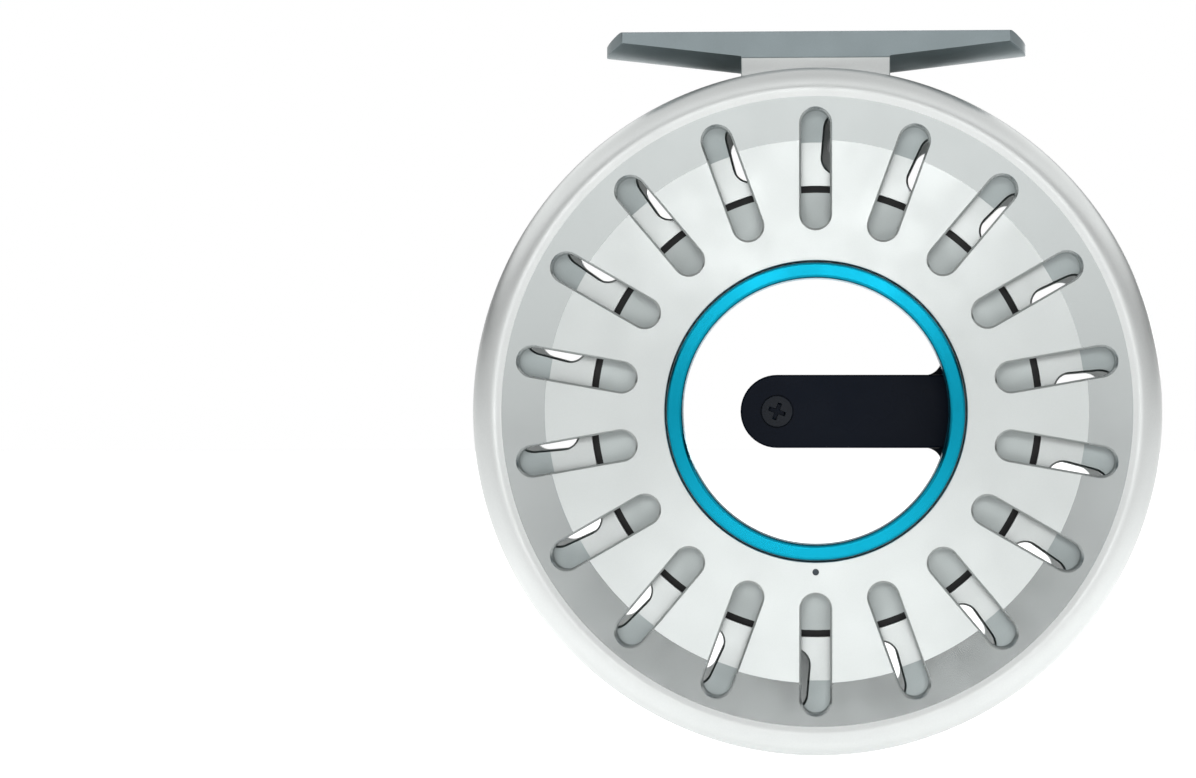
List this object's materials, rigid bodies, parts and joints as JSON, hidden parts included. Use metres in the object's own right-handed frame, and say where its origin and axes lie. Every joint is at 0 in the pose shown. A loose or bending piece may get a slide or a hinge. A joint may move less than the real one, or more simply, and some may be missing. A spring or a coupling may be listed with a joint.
{
  "type": "fly reel",
  "caption": "Open-centred large-arbour fly reel with a saddle foot, a handled spool on a fixed core, a ring drag adjuster and a thumb-slide spool release.",
  "frame": {"origin": "middle of the plane through the foot's two top edges", "axes": "+X along the rod and the foot, +Y from the handle side to the frame side along the spin axis, +Z from the spool towards the rod"},
  "size_m": [0.1024, 0.0592, 0.1082],
  "materials": {
    "blasted_silver": "bead blasted, clear anodised",
    "black_anodised": "satin black anodised",
    "cyan_anodised": "bright cyan anodised, fine turned",
    "polished_weight": "polished",
    "black_knob": "turned and polished black",
    "steel": "ground stainless steel",
    "black_screw": "blackened steel",
    "bronze": "sintered bronze",
    "friction_disc": "carbon friction disc",
    "seal_rubber": "moulded rubber"
  },
  "bodies": {
    "frame": {"rear_plate": "blasted_silver", "core_sleeve": "blasted_silver", "sleeve_screws": "steel", "reel_foot": "blasted_silver", "foot_screws": "steel", "dish_cover": "black_anodised", "centre_arm": "black_anodised", "arm_screw": "black_screw", "slide_keeper": "steel", "bearing_inner_races": "steel", "bearing_balls": "steel", "thrust_ring": "steel", "drag_washers": "friction_disc", "drag_spring": "steel", "retaining_wire": "steel", "latch_pin": "steel", "latch_spring": "steel", "slide_spring": "steel", "click_pin": "steel", "click_spring": "steel"},
    "spool": {"spool_front_flange": "blasted_silver", "spool_arbor": "blasted_silver", "spool_rear_flange": "blasted_silver", "hub_drum": "blasted_silver", "bearing_carrier": "steel", "bearing_outer_races": "steel", "core_seal": "seal_rubber", "hub_o_rings": "seal_rubber", "click_ring": "steel", "clutch_cage": "bronze", "clutch_rollers": "steel", "counterweight": "polished_weight", "counterweight_screw": "steel", "handle_spindle": "steel", "spindle_screw": "steel"},
    "handle": {"handle_knob": "black_knob", "handle_cap": "black_knob", "handle_bushes": "bronze"},
    "drag_adjuster": {"drag_ring": "cyan_anodised", "drag_tube": "black_anodised"},
    "drag_pressure": {"pressure_ring": "steel"},
    "rotor": {"drag_rotor": "steel"},
    "release_slide": {"thumb_slide": "black_anodised", "slide_link": "black_anodised"},
    "latch": {"latch_lever": "steel"},
    "click": {"click_pawl": "steel"}
  },
  "joints": [
    {"name": "spool_spin", "type": "hinge", "parent": "frame", "child": "spool", "pos_m": [0, 0, -0.057], "axis": [0, 1, 0], "continuous": true},
    {"name": "handle_spin", "type": "hinge", "parent": "spool", "child": "handle", "pos_m": [0.00365, 0, -0.09874], "axis": [0, 1, 0], "continuous": true},
    {"name": "drag_turn", "type": "hinge", "parent": "frame", "child": "drag_adjuster", "pos_m": [0, 0, -0.057], "axis": [0, -1, 0], "range_deg": [0, 300]},
    {"name": "pressure_slide", "type": "slide", "parent": "frame", "child": "drag_pressure", "axis": [0, 1, 0], "range_m": [0, 0.00035], "deforming": ["drag_spring"]},
    {"name": "rotor_spin", "type": "hinge", "parent": "frame", "child": "rotor", "pos_m": [0, 0, -0.057], "axis": [0, 1, 0], "continuous": true},
    {"name": "release_push", "type": "slide", "parent": "frame", "child": "release_slide", "axis": [-1, 0, 0], "range_m": [0, 0.0042], "stiffness_N_per_m": 300, "springref_m": -0.002, "deforming": ["slide_spring"]},
    {"name": "latch_tilt", "type": "hinge", "parent": "frame", "child": "latch", "pos_m": [-0.0293, 0, -0.0528], "axis": [0, -1, 0], "range_deg": [0, 8]},
    {"name": "click_lift", "type": "hinge", "parent": "frame", "child": "click", "pos_m": [0.0198, 0, -0.0372], "axis": [0, -1, 0], "range_deg": [0, 6], "stiffness_Nm_per_rad": 0.02, "springref_deg": -1.15}
  ],
  "couplings": [
    {"joint": "pressure_slide", "follows": "drag_turn", "m_per_rad": 0.000066845},
    {"joint": "latch_tilt", "follows": "release_push", "rad_per_m": 33.244}
  ]
}
